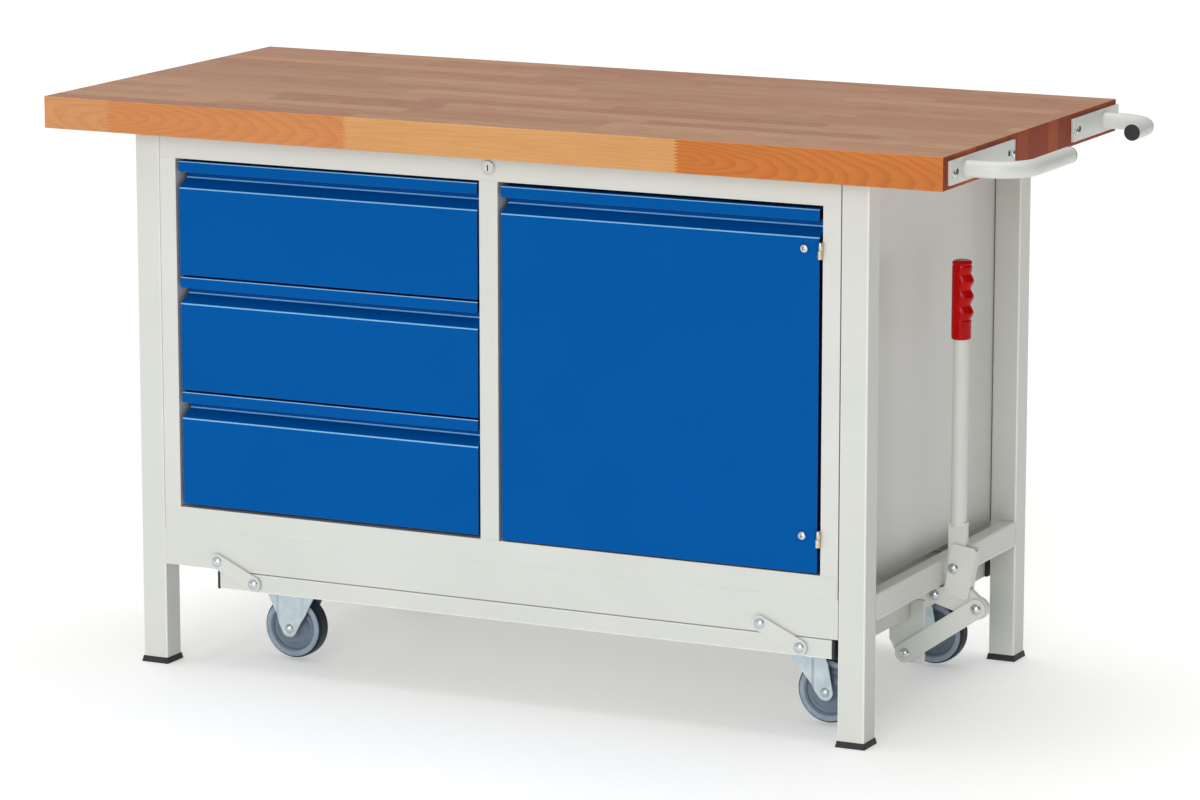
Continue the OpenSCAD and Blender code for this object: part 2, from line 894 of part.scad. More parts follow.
// Lever tube, pressed flat at its lower end
module lever_tube() {
    color("silver")
        at_bench() {
            rod_z(lever_x, 0, flat_z1 - 6, lever_top - 4, lever_d / 2);
            difference() {
                block(lever_x - flat_w / 2, lever_x + flat_w / 2, -crank_y, crank_y,
                      a_at.y - 20, flat_z1);
                rod_y(a_at.x, a_at.y, -30, 30, pivot_r);
                translate([lever_x + 7, -30, a_at.y - 25])
                    rotate([0, socket_lean, 0]) cube([40, 60, 70]);
            }
        }
}

module lever_grip() {
    r = 15.5;
    ring = 5.5;
    bumps = 3;
    pitch = 24;
    color("firebrick")
        at_bench() {
            difference() {
                union() {
                    rod_z(lever_x, 0, lever_top - grip_l, lever_top - 3, r);
                    rod_z(lever_x, 0, lever_top - 4, lever_top, r - 2);
                    for (i = [0 : bumps - 1])
                        translate([lever_x + 1.5, 0, lever_top - 32 - i * pitch])
                            rotate_extrude() translate([r - 4, 0]) circle(r = ring);
                }
                rod_z(lever_x, 0, lever_top - grip_l - 1, lever_top - 4, lever_d / 2);
            }
        }
}

module lever_bolts() {
    color("silver")
        at_bench() {
            cheek = crank_y + socket_t;
            bolt_y(a_at.x, a_at.y, -cheek, cheek + 6, pivot_r, 8.5, 4.5);
            rod_y(a_at.x, a_at.y, cheek, cheek + 5, 8);
            bolt_y(c_at.x, c_at.y, push_y0 - face_gap, crank_y + 6, pivot_r, 8.5, 4.5);
            rod_y(c_at.x, c_at.y, crank_y, crank_y + 5, 8);
        }
}

module push_link() {
    color("silver")
        at_bench()
            xz(push_y0, push_y1)
                difference() {
                    bar(c_at, d_at, link_r, link_r);
                    translate(c_at) circle(r = pivot_r + slip);
                    translate(d_at) circle(r = d_bolt_r);
                }
}

// Bolt at D: it passes the bracket with room, so the bracket's hole never binds
module push_link_bolt() {
    nut_y = -crank_y + bracket_t + face_gap;
    color("silver")
        at_bench() {
            bolt_y(d_at.x, d_at.y, push_y0, nut_y + 7, d_bolt_r, 8.5, 4.5);
            rod_y(d_at.x, d_at.y, nut_y, nut_y + 2, 11.5);
            rod_y(d_at.x, d_at.y, nut_y + 2, nut_y + 6, 8);
        }
}

// ---- Drawers and door ------------------------------------------------------------------------

// Sheet of a front, from its top down: lip, grip hollow, slope and flat face
module front_sheet(z1, z0) {
    h = sheet / 2;
    ya = y_front + h;
    yb = y_front + grip_d - h;
    folded([
        [yb, z1 - h], [ya, z1 - h], [ya, z1 - lip_h + h], [yb, z1 - lip_h + h],
        [yb, z1 - grip_h + 13], [ya, z1 - grip_h], [ya, z0 + h], [ya + 14, z0 + h]
    ], sheet);
}

module drawer_front(i) {
    z0 = front_bottom(i);
    color("royalblue")
        at_bench()
            yz(drawer_x0, drawer_x1) front_sheet(z0 + front_h, z0);
}

module drawer_front_top() { drawer_front(0); }
module drawer_front_middle() { drawer_front(1); }
module drawer_front_bottom() { drawer_front(2); }

// Open box with a rail along each side that slides in the cabinet's runners
module drawer_box(i) {
    z0 = front_bottom(i) + drawer_lift;
    x0 = drawer_x0 + box_gap + sheet;
    x1 = drawer_x1 - box_gap - sheet;
    y1 = box_y0 + drawer_l;
    rail_z = runner_z(i) + sheet + face_gap;
    rail_t = 5;
    color("lightgray")
        at_bench() {
            difference() {
                block(x0, x1, box_y0, y1, z0, z0 + drawer_h);
                block(x0 + sheet, x1 - sheet, box_y0 + sheet, y1 - sheet,
                      z0 + sheet, z0 + drawer_h + 1);
            }
            for (x = [x0 - rail_t, x1])
                block(x, x + rail_t, box_y0 + 5, y1 - 5,
                      rail_z, rail_z + runner_h - 2 * sheet - 2 * face_gap);
            for (x = [x0 + 30, x1 - 80])
                block(x, x + 50, y_front + sheet, box_y0 + eps, z0, z0 + 20);
        }
}

module drawer_box_top() { drawer_box(0); }
module drawer_box_middle() { drawer_box(1); }
module drawer_box_bottom() { drawer_box(2); }

module door_panel() {
    color("royalblue")
        at_bench()
            yz(door_x0, door_x1) front_sheet(door_z1, door_z0);
}

// Inner pan of the door, with the hinge leaves and knuckles on its right edge
module door_liner() {
    yb = y_front + grip_d;
    x0 = door_x0 + 1;
    x1 = door_x1;
    z0 = door_z0 + sheet + 0.5;
    z1 = door_z1 - grip_h - 2;
    lift = hinge_h / 2;
    color("royalblue")
        at_bench() {
            block(x0, x1, yb - sheet, yb, z0, z1);
            for (x = [x0, x1 - sheet])
                block(x, x + sheet, y_front + sheet, yb, z0, z1);
            for (z = hinge_zs)
                difference() {
                    union() {
                        rod_z(hinge_x, hinge_y, z, z + lift, hinge_r);
                        block(x1, x1 + leaf_t, hinge_y - leaf_t / 2, hinge_y + leaf_l,
                              z, z + lift);
                    }
                    rod_z(hinge_x, hinge_y, z - 1, z + lift + 1, hinge_pin_r + slip);
                }
        }
}

// Lock core with a key slot, and the cam behind it
module lock_core() {
    color("silver")
        at_bench()
            difference() {
                union() {
                    rod_y(mid_x, lock_z, y_front - 2, y_front + 26, core_r);
                    block(mid_x - 7, mid_x + 7, y_front + 26, y_front + 29,
                          lock_z - 14, lock_z + 8);
                }
                block(mid_x - 1, mid_x + 1, y_front - 3, y_front + 8,
                      lock_z - 4.5, lock_z + 4.5);
            }
}

worktop();
leg_front_left();
leg_front_right();
leg_rear_left();
leg_rear_right();
feet();
apron_front();
apron_rear();
side_rails();
side_panel_left();
side_panel_right();
base_panel();
top_rail_front();
top_rail_rear();
divider();
back_panel();
shelf();
cabinet_runners();
lock_housing();
hinge_leaves();
push_handle_front();
push_handle_rear();
handle_end_plugs();
lever_lug();
frame_pivot_bolts();
chassis_rail_front();
chassis_rail_rear();
chassis_crossbars();
lever_bracket();
rail_end_plugs();
fixed_castor_housings();
swivel_castor_plates();
chassis_pivot_bolts();
fixed_castor_axles();
link_front_left();
link_front_right();
link_rear_left();
link_rear_right();
castor_fork_front();
castor_fork_rear();
wheel_front_left();
wheel_front_right();
wheel_rear_left();
wheel_rear_right();
crank();
lever_socket();
lever_tube();
lever_grip();
lever_bolts();
push_link();
push_link_bolt();
drawer_front_top();
drawer_front_middle();
drawer_front_bottom();
drawer_box_top();
drawer_box_middle();
drawer_box_bottom();
door_panel();
door_liner();
lock_core();
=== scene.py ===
"""Looks of the mobile workbench: beech top, powder-coated frame and fronts, castors, lever and
handles.

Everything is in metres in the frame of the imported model: +X along the worktop, +Y to the back,
+Z up.
"""

import json
import math

import bmesh
import bpy
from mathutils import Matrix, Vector


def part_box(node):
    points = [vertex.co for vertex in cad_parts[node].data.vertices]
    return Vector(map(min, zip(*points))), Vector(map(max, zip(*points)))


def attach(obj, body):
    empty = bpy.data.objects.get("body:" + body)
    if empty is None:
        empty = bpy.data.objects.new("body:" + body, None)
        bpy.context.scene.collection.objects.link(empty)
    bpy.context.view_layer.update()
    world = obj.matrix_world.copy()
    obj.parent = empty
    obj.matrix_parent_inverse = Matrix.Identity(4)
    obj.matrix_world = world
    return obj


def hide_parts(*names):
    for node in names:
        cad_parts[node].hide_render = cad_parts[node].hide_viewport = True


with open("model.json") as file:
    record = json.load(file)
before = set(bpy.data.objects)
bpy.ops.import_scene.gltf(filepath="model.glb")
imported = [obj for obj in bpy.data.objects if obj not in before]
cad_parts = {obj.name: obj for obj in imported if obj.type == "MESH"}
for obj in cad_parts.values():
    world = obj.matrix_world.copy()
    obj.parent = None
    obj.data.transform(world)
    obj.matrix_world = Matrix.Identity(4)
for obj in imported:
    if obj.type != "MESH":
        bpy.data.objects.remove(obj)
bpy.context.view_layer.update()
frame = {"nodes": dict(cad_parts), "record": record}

SLOT_OF = {part["node"]: part["material_slot"] for part in frame["record"]["subparts"]}
MM = 0.001

# ---- Sizes that the frame doesn't hold --------------------------------------------------------

SHEET = 1.5 * MM            # sheet steel of the fronts
LIP_H = 17 * MM             # height of the lip over a grip
GRIP_H = 41.5 * MM          # from the top of a front down to its flat face
GRIP_WALL_H = 28.5 * MM     # from the top of a front down to the start of the slope
FLANGE = 14 * MM            # depth of the flanges round the flat face of a front
BEND_R = 2.6 * MM           # outer radius of a bend in a front
TUBE_WALL = 2 * MM          # wall of the square tubes
TUBE_CORNER = 3 * MM        # corner radius of the square tubes
SIDE_RAIL_W = 25 * MM       # width of a side rail
STAVES = 17                 # rows of staves across the worktop
FINGERS = 10                # fingers of a joint over the thickness of the worktop
FINGER_L = 9 * MM           # length of the fingers
KNUCKLE_R = 3.65 * MM       # radius of the hinge knuckles on the door
HINGE_INSET = 2.75 * MM     # from the edge of the stile to the axis of the hinges
CHEEK_OUT = 3.5 * MM        # from the boss of a wheel out to the face of its cheek
FRONT_JOINTS = (-0.687, -0.271, 0.280)  # finger joints along the front row of staves, in X
RING = 5.2 * MM             # width of a year ring of the beech
HANDLE_PLATE = 5 * MM       # thickness of a handle's plate
GRIP_R = 15.2 * MM          # radius of the lever's grip
GRIP_PITCH = 24 * MM        # from one finger bump of the grip to the next
PLATE_BOLTS = (41 * MM, 31 * MM)  # from the middle of a castor plate to its bolts, in X and Y
PLATE_T = 3 * MM            # thickness of a castor plate
THIN = 0.35 * MM            # edge radius of sheet metal
BEAD_PITCH = 1.1 * MM       # from ripple to ripple of a weld bead


# ---- Node graphs ------------------------------------------------------------------------------

EDGE_REACH = 1.2 * MM       # how far the lighter band along an edge reaches; on powder coat it is a painted highlight
CORNER_REACH = 6 * MM       # how far the painted shade of a corner reaches


class Graph:
    """The node tree of one material, with short calls for the nodes that it needs."""

    def __init__(self, name, **constants):
        self.material = bpy.data.materials.new(name)
        self.material.use_nodes = True
        self.tree = self.material.node_tree
        self.shader = self.tree.nodes["Principled BSDF"]
        for socket, value in constants.items():
            self.shader.inputs[socket.replace("_", " ")].default_value = value
        coordinates = self.tree.nodes.new("ShaderNodeTexCoord")
        self.place = coordinates.outputs["Object"]
        self.normal = coordinates.outputs["Normal"]

    def feed(self, socket, value):
        if isinstance(value, bpy.types.NodeSocket):
            self.tree.links.new(value, socket)
        else:
            socket.default_value = value

    def math(self, operation, *values):
        node = self.tree.nodes.new("ShaderNodeMath")
        node.operation = operation
        for socket, value in zip(node.inputs, values):
            self.feed(socket, value)
        return node.outputs[0]

    def add(self, *values):
        total = values[0]
        for value in values[1:]:
            total = self.math("ADD", total, value)
        return total

    def times(self, a, b):
        return self.math("MULTIPLY", a, b)

    def split(self, vector):
        node = self.tree.nodes.new("ShaderNodeSeparateXYZ")
        self.feed(node.inputs[0], vector)
        return node.outputs

    def vector(self, x, y, z):
        node = self.tree.nodes.new("ShaderNodeCombineXYZ")
        for socket, value in zip(node.inputs, (x, y, z)):
            self.feed(socket, value)
        return node.outputs[0]

    def scaled(self, vector, scale):
        node = self.tree.nodes.new("ShaderNodeVectorMath")
        node.operation = "MULTIPLY"
        self.feed(node.inputs[0], vector)
        self.feed(node.inputs[1], scale)
        return node.outputs[0]

    def inverse(self, share):
        return self.math("SUBTRACT", 1.0, share)

    def noise(self, scale, detail=2.0, roughness=0.5):
        """Noise over the piece, with its own scale along X, Y and Z."""
        return self.noise_at(self.scaled(self.place, scale), detail, roughness)

    def noise_at(self, place, detail, roughness=0.5):
        node = self.tree.nodes.new("ShaderNodeTexNoise")
        self.feed(node.inputs["Vector"], place)
        node.inputs["Scale"].default_value = 1
        node.inputs["Detail"].default_value = detail
        node.inputs["Roughness"].default_value = roughness
        return node.outputs[0]

    def random(self, vector):
        """Three random numbers and one more for a cell of the pattern."""
        node = self.tree.nodes.new("ShaderNodeTexWhiteNoise")
        node.noise_dimensions = "3D"
        self.feed(node.inputs["Vector"], vector)
        return list(self.split(node.outputs["Color"])) + [node.outputs["Value"]]

    def cells(self, place):
        """A random colour for each cell of an uneven pattern."""
        node = self.tree.nodes.new("ShaderNodeTexVoronoi")
        self.feed(node.inputs["Vector"], place)
        node.inputs["Scale"].default_value = 1
        return node.outputs["Color"]

    def tinted(self, tone, tint):
        """A tone multiplied by a tint."""
        return self.mix(1.0, tone, tint, "MULTIPLY")

    def map(self, value, low, high, to_low=0.0, to_high=1.0, smooth=False):
        node = self.tree.nodes.new("ShaderNodeMapRange")
        if smooth:
            node.interpolation_type = "SMOOTHSTEP"
        for socket, number in zip(node.inputs, (value, low, high, to_low, to_high)):
            self.feed(socket, number)
        return node.outputs[0]

    def mix(self, share, a, b, blend="MIX"):
        node = self.tree.nodes.new("ShaderNodeMix")
        node.data_type = "RGBA"
        node.blend_type = blend
        self.feed(node.inputs["Factor"], share)
        self.feed(node.inputs[6], a)
        self.feed(node.inputs[7], b)
        return node.outputs[2]

    def ramp(self, value, *stops):
        """Colour along stops of (position, colour)."""
        node = self.tree.nodes.new("ShaderNodeValToRGB")
        self.feed(node.inputs[0], value)
        elements = node.color_ramp.elements
        while len(elements) < len(stops):
            elements.new(0.5)
        for element, (position, colour) in zip(elements, stops):
            element.position = position
            element.color = colour
        return node.outputs[0]

    def pick(self, index, *values):
        """The value for a whole number that counts up from 0."""
        total = values[0]
        for i in range(1, len(values)):
            above = self.math("GREATER_THAN", index, i - 0.5)
            total = self.add(total, self.times(above, values[i] - values[i - 1]))
        return total

    def edges(self):
        """How near a point lies to an edge, from 0 to 1."""
        rounded = self.tree.nodes.new("ShaderNodeBevel")
        rounded.samples = 4
        rounded.inputs["Radius"].default_value = EDGE_REACH
        geometry = self.tree.nodes.new("ShaderNodeNewGeometry")
        turn = self.tree.nodes.new("ShaderNodeVectorMath")
        turn.operation = "DOT_PRODUCT"
        self.feed(turn.inputs[0], rounded.outputs[0])
        self.feed(turn.inputs[1], geometry.outputs["Normal"])
        return self.map(turn.outputs["Value"], 0.985, 0.84)

    def bump(self, height, distance, strength=1.0):
        node = self.tree.nodes.new("ShaderNodeBump")
        node.inputs["Distance"].default_value = distance
        node.inputs["Strength"].default_value = strength
        self.feed(node.inputs["Height"], height)
        self.feed(self.shader.inputs["Normal"], node.outputs[0])

    def colour(self, value):
        self.feed(self.shader.inputs["Base Color"], value)

    def roughness(self, value):
        self.feed(self.shader.inputs["Roughness"], value)


def srgb(red, green, blue):
    """A linear colour from its 0 to 255 display values."""
    def linear(c):
        c /= 255
        return c / 12.92 if c <= 0.04045 else ((c + 0.055) / 1.055) ** 2.4
    return (linear(red), linear(green), linear(blue), 1.0)


def dimmed(colour, share):
    return tuple(c * share for c in colour[:3]) + (1.0,)


def lightened(colour, share):
    return tuple(c + (1 - c) * share for c in colour[:3]) + (1.0,)


# ---- Materials --------------------------------------------------------------------------------

def beech():
    """Rows of staves along X with finger joints between lengths. Each length has rings about
    its own pith."""
    low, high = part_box("worktop")
    g = Graph("beech", IOR=1.45, Specular_IOR_Level=0.3)
    x, y, z = g.split(g.place)
    stave_w = (high.y - low.y) / STAVES
    across = g.math("DIVIDE", g.math("SUBTRACT", y, low.y), stave_w)
    row = g.math("FLOOR", g.math("MINIMUM", g.math("MAXIMUM", across, 0.01), STAVES - 0.01))
    finger = g.math("PINGPONG", g.times(z, 2 * FINGERS / (high.z - low.z)), 1.0)
    reach = g.add(x, g.times(g.math("SUBTRACT", finger, 0.5), FINGER_L))

    # Lengths: the front row has its own joints, the other rows random ones
    row_chance = g.random(g.vector(row, 3.7, 1.3))
    stretch = g.noise_at(g.vector(g.times(reach, 2.1), g.times(row, 7.3), 0.0), detail=0.0)
    along = g.add(g.times(reach, 2.9), g.times(row_chance[0], 9.0), g.times(stretch, 0.9), 40.0)
    inner_length = g.math("FLOOR", along)
    front_length = 0.0
    for joint in FRONT_JOINTS:
        front_length = g.add(front_length, g.math("GREATER_THAN", reach, joint))
    facing_front = g.map(g.split(g.normal)[1], -0.6, -0.8)
    facing_away = g.inverse(facing_front)
    in_front = g.math("LESS_THAN", row, 0.5)
    length = g.add(g.times(in_front, front_length), g.times(g.inverse(in_front), inner_length))
    cell = g.vector(g.add(row, 0.5), g.add(length, 0.5), 2.6)
    chance = g.random(cell)

    # Rings about a pith outside the stave, which leans a little, so that they run out in arches.
    # On the front edge each length has a lean and a middle of its own
    wander = g.noise((6.0, 26.0, 26.0), detail=2.0)
    lean = g.add(g.times(facing_away, g.map(chance[1], 0, 1, -0.05, 0.05)),
                 g.times(facing_front, g.pick(front_length, 0.10, -0.16, 0.03, 0.17)))
    centre = g.pick(front_length, -0.75, -0.44, 0.0, 0.30)
    run = g.math("SUBTRACT", x, g.times(facing_front, centre))
    y_pith = g.add(y, -low.y - 0.02, g.times(g.math("SUBTRACT", chance[0], 0.5), 0.05),
                   g.times(run, lean), g.times(row, -stave_w))
    z_pith = g.add(z, -low.z + 0.02, g.times(chance[2], 0.055),
                   g.times(run, g.map(chance[0], 0, 1, -0.07, 0.07)))
    z_front = g.add(z, -low.z - 0.022, g.times(run, g.pick(front_length, 0.12, 0.02, 0.0, 0.05)))
    z_pith = g.add(g.times(facing_away, z_pith), g.times(facing_front, z_front))
    radius = g.math("SQRT", g.add(g.times(y_pith, y_pith), g.times(z_pith, z_pith)))
    radius = g.add(radius, g.times(wander, 0.011))
    ring = g.math("FRACT", g.math("DIVIDE", radius, RING))
    late = g.map(ring, 0.30, 0.92, 0.0, 1.0, smooth=True)
    late = g.times(late, g.map(ring, 0.92, 1.0, 1.0, 0.0))

    # Fine grain: fibres, pores and the short dark flecks of beech
    fibre = g.noise((14.0, 520.0, 520.0), detail=4.0, roughness=0.6)
    flecks = g.noise((190.0, 1500.0, 1500.0), detail=1.0)
    fleck = g.map(flecks, 0.62, 0.72)
    clouds = g.noise((3.2, 30.0, 30.0), detail=3.0)

    tone = g.ramp(
        g.math("ADD", g.times(chance[3], 0.88), g.times(clouds, 0.14)),
        (0.00, srgb(168, 122, 94)), (0.25, srgb(175, 130, 100)), (0.50, srgb(179, 135, 103)),
        (0.75, srgb(184, 141, 107)), (1.00, srgb(193, 152, 115)))
    tone = g.mix(g.map(chance[1], 0.35, 0.9, 0.0, 0.8), tone, g.tinted(tone, srgb(255, 244, 243)))
    front_tone = g.ramp(
        g.times(front_length, 0.3),
        (0.00, srgb(234, 168, 110)), (0.29, srgb(232, 155, 90)), (0.31, srgb(232, 155, 90)),
        (0.59, srgb(240, 182, 114)), (0.61, srgb(240, 182, 114)), (0.90, srgb(224, 134, 48)))
    front_tone = g.mix(g.map(clouds, 0.35, 0.7, 0.0, 0.35), front_tone,
                       g.tinted(front_tone, srgb(236, 214, 196)))
    tone = g.mix(facing_front, tone, front_tone)
    strong = g.times(facing_front, g.pick(front_length, 0.18, 0.20, 0.10, 0.32))
    strong = g.add(strong, g.times(facing_away, 0.20))
    tone = g.mix(g.times(late, strong), tone, g.tinted(tone, srgb(206, 150, 112)))
    tone = g.mix(g.map(fibre, 0.35, 0.65, 0.0, 0.30), tone, g.tinted(tone, srgb(218, 200, 186)))
    tone = g.mix(g.times(fleck, 0.28), tone, srgb(130, 76, 48))

    # Glue lines between rows, and the darker end grain
    seam = g.math("ABSOLUTE", g.math("SUBTRACT", g.math("FRACT", across), 0.5))
    tone = g.mix(g.map(seam, 0.488, 0.5, 0.0, 0.30), tone, srgb(120, 76, 52))
    facing = g.math("ABSOLUTE", g.split(g.normal)[0])
    end = g.map(facing, 0.75, 0.9)
    pores = g.noise((600.0, 900.0, 900.0), detail=2.0)
    end_shade = g.ramp(chance[2], (0.0, srgb(188, 94, 22)), (0.5, srgb(218, 118, 30)),
                       (1.0, srgb(246, 158, 62)))
    end_tone = g.tinted(tone, end_shade)
    end_tone = g.mix(g.map(pores, 0.5, 0.7, 0.0, 0.35), end_tone, srgb(92, 48, 26))
    g.colour(g.mix(end, tone, end_tone))
    g.roughness(g.add(0.36, g.times(fibre, 0.12), g.times(end, 0.15)))
    g.bump(g.add(fibre, g.times(fleck, -0.6), g.times(late, 0.4)), 0.00006, 0.5)
    return g.material


def powder(name, colour, roughness, shine=0.5, edge_highlight=0.5, corner=0.85):
    """Powder coat: orange peel, faint clouds, edges lightened by the share edge_highlight as a
    painted highlight, and corners darkened to the share corner as painted shade."""
    g = Graph(name, IOR=1.5, Specular_IOR_Level=shine)
    clouds = g.noise((6.0, 6.0, 6.0), detail=3.0)
    dust = g.noise((1400.0, 1400.0, 1400.0), detail=1.0)
    tone = g.mix(g.map(clouds, 0.3, 0.7), dimmed(colour, 0.975), dimmed(colour, 1.02))
    tone = g.mix(g.map(dust, 0.6, 0.75, 0.0, 0.12), tone, dimmed(colour, 0.8))
    light = lightened(colour, 0.5)
    # Painted shade: the colour darkens where ambient occlusion finds nearby surfaces, in corners,
    # gaps and hollows
    painted_shade_ao = g.tree.nodes.new("ShaderNodeAmbientOcclusion")
    painted_shade_ao.samples = 4
    painted_shade_ao.inputs["Distance"].default_value = CORNER_REACH
    shade = g.map(painted_shade_ao.outputs["AO"], 0.25, 0.95, corner, 1.0)
    # Painted highlight: the edges are lightened towards a paler copy of the paint
    tone = g.mix(g.times(g.edges(), edge_highlight), tone, light)
    g.colour(g.tinted(tone, g.vector(shade, shade, shade)))
    peel = g.noise((620.0, 620.0, 620.0), detail=1.5)
    g.roughness(g.add(roughness - 0.04, g.times(peel, 0.05), g.times(clouds, 0.04)))
    g.bump(peel, 0.00012, 0.35)
    return g.material


def zinc():
    """Bright zinc plate: bluish, with a soft spangle and fine press marks."""
    g = Graph("zinc", Metallic=0.85)
    spangle = g.split(g.cells(g.scaled(g.place, (320.0, 320.0, 320.0))))[0]
    clouds = g.noise((40.0, 40.0, 40.0), detail=3.0)
    marks = g.noise((60.0, 60.0, 1800.0), detail=2.0)
    tone = g.mix(g.map(clouds, 0.3, 0.7), srgb(178, 193, 201), srgb(208, 218, 223))
    tone = g.mix(g.times(spangle, 0.12), tone, srgb(170, 184, 192))
    g.colour(g.mix(g.times(g.edges(), 0.3), tone, srgb(240, 244, 245)))
    g.roughness(g.add(0.30, g.times(spangle, 0.08), g.times(clouds, 0.10)))
    g.bump(g.add(marks, g.times(spangle, 0.3)), 0.00004, 0.4)
    return g.material


def bright_steel(name, colour, roughness):
    """Plated bolts and lock: smooth metal with fine turning marks and slight tarnish."""
    g = Graph(name, Metallic=1.0)
    tarnish = g.noise((160.0, 160.0, 160.0), detail=3.0)
    marks = g.noise((2400.0, 300.0, 2400.0), detail=1.0)
    g.colour(g.mix(g.map(tarnish, 0.45, 0.8, 0.0, 0.5), colour, dimmed(colour, 0.72)))
    g.roughness(g.add(roughness, g.times(tarnish, 0.12)))
    g.bump(marks, 0.00002, 0.3)
    return g.material


def plastic(name, colour, roughness, grain, shine=0.5):
    """Moulded plastic or rubber with a skin of the fineness grain and slightly worn edges."""
    g = Graph(name, Specular_IOR_Level=shine)
    skin = g.noise((grain, grain, grain), detail=2.0)
    clouds = g.noise((45.0, 45.0, 45.0), detail=3.0)
    tone = g.mix(g.map(clouds, 0.3, 0.7), dimmed(colour, 0.86), dimmed(colour, 1.12))
    g.colour(g.mix(g.times(g.edges(), 0.4), tone, lightened(colour, 0.12)))
    g.roughness(g.add(roughness - 0.05, g.times(skin, 0.10), g.times(clouds, 0.05)))
    g.bump(skin, 0.0001, 0.4)
    return g.material


def floor_paint():
    """Pale floor that glows a little."""
    g = Graph("floor_paint", Emission_Color=(1.0, 1.0, 1.0, 1.0), Emission_Strength=0.32)
    clouds = g.noise((1.5, 1.5, 1.5), detail=2.0)
    g.colour(g.mix(clouds, srgb(224, 224, 223), srgb(228, 228, 227)))
    g.roughness(g.add(0.6, g.times(clouds, 0.1)))
    return g.material


MATERIALS = {
    "beech": beech(),
    "grey_frame": powder("grey_frame", srgb(210, 212, 206), 0.34),
    "grey_panel": powder("grey_panel", srgb(213, 214, 209), 0.30),
    # The blue takes deeper painted shade in its corners and grip hollows
    "blue_front": powder("blue_front", srgb(0, 84, 158), 0.28, shine=0.03, edge_highlight=0.1, corner=0.5),
    "black_plastic": plastic("black_plastic", srgb(30, 30, 31), 0.48, 1600.0),
    "red_grip": plastic("red_grip", srgb(176, 0, 2), 0.16, 900.0, shine=0.15),
    "zinc": zinc(),
    "bright_bolt": bright_steel("bright_bolt", srgb(206, 211, 214), 0.20),
    "lock_nickel": bright_steel("lock_nickel", srgb(204, 203, 198), 0.12),
    "hinge_brass": bright_steel("hinge_brass", srgb(216, 204, 176), 0.30),
    "castor_wheel": plastic("castor_wheel", srgb(16, 28, 42), 0.44, 700.0, shine=0.3),
}
RIM = plastic("castor_rim", srgb(138, 152, 168), 0.32, 1100.0)
HUB = plastic("castor_hub", srgb(104, 118, 134), 0.36, 1100.0)
# Lighter, glossier copies of the grey and blue paints for rounded bends and tube corners: painted
# highlight lines
PAINTED_HIGHLIGHT_GREY = powder("painted_highlight_grey", srgb(236, 237, 233), 0.24, shine=0.9)
PAINTED_HIGHLIGHT_BLUE = powder("painted_highlight_blue", srgb(128, 192, 240), 0.18, shine=1.0)


# ---- Building pieces --------------------------------------------------------------------------

